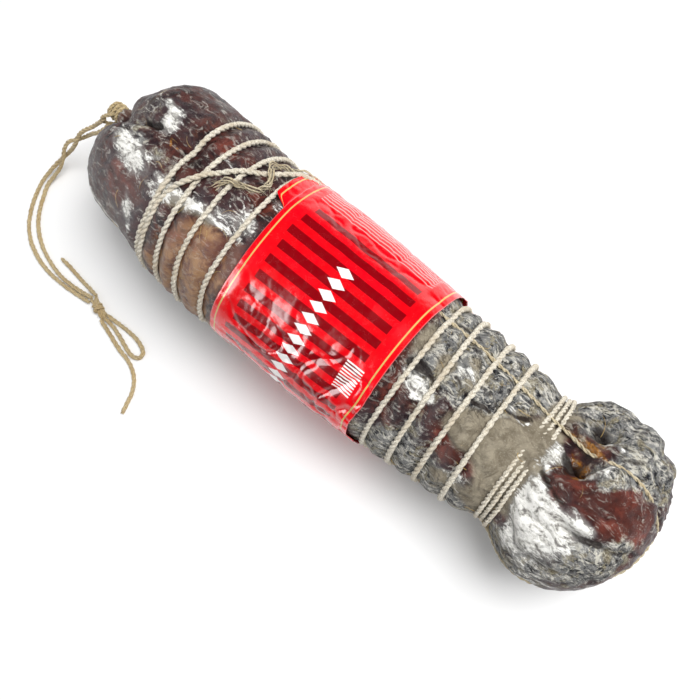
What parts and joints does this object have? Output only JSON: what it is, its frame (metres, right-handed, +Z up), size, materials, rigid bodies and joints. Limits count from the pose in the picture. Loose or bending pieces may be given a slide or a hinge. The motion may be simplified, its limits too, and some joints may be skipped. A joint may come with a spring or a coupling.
{
  "type": "tied cured sausage",
  "caption": "Whole-muscle cured sausage in a mould-bloomed casing, bound with cotton twine and lengthwise jute, with a glossy red wrap band and a jute hanging loop.",
  "frame": {"origin": "on the surface that the sausage lies on, under the middle of the sausage", "axes": "+X along the sausage, from the tied hanging end to the knob; +Z up; +Y to the side away from the hanging loop"},
  "size_m": [0.368, 0.1603, 0.0907],
  "materials": {
    "meat": "dry cured casing, dark red-brown with white and grey-blue mould bloom",
    "cotton": "undyed twisted cotton",
    "jute": "natural twisted jute",
    "band": "glossy red printed film"
  },
  "bodies": {
    "root": {"cured_meat": "meat", "binding_twine": "cotton", "neck_tie": "cotton", "lengthwise_jute_a": "jute", "lengthwise_jute_b": "jute", "end_tie": "jute", "loop_strand_outer": "jute", "loop_strand_inner": "jute", "loop_knot": "jute", "bow_loop": "jute", "loop_tail_short": "jute", "loop_tail_long": "jute", "loose_jute_end": "jute", "label_band": "band"}
  },
  "joints": []
}
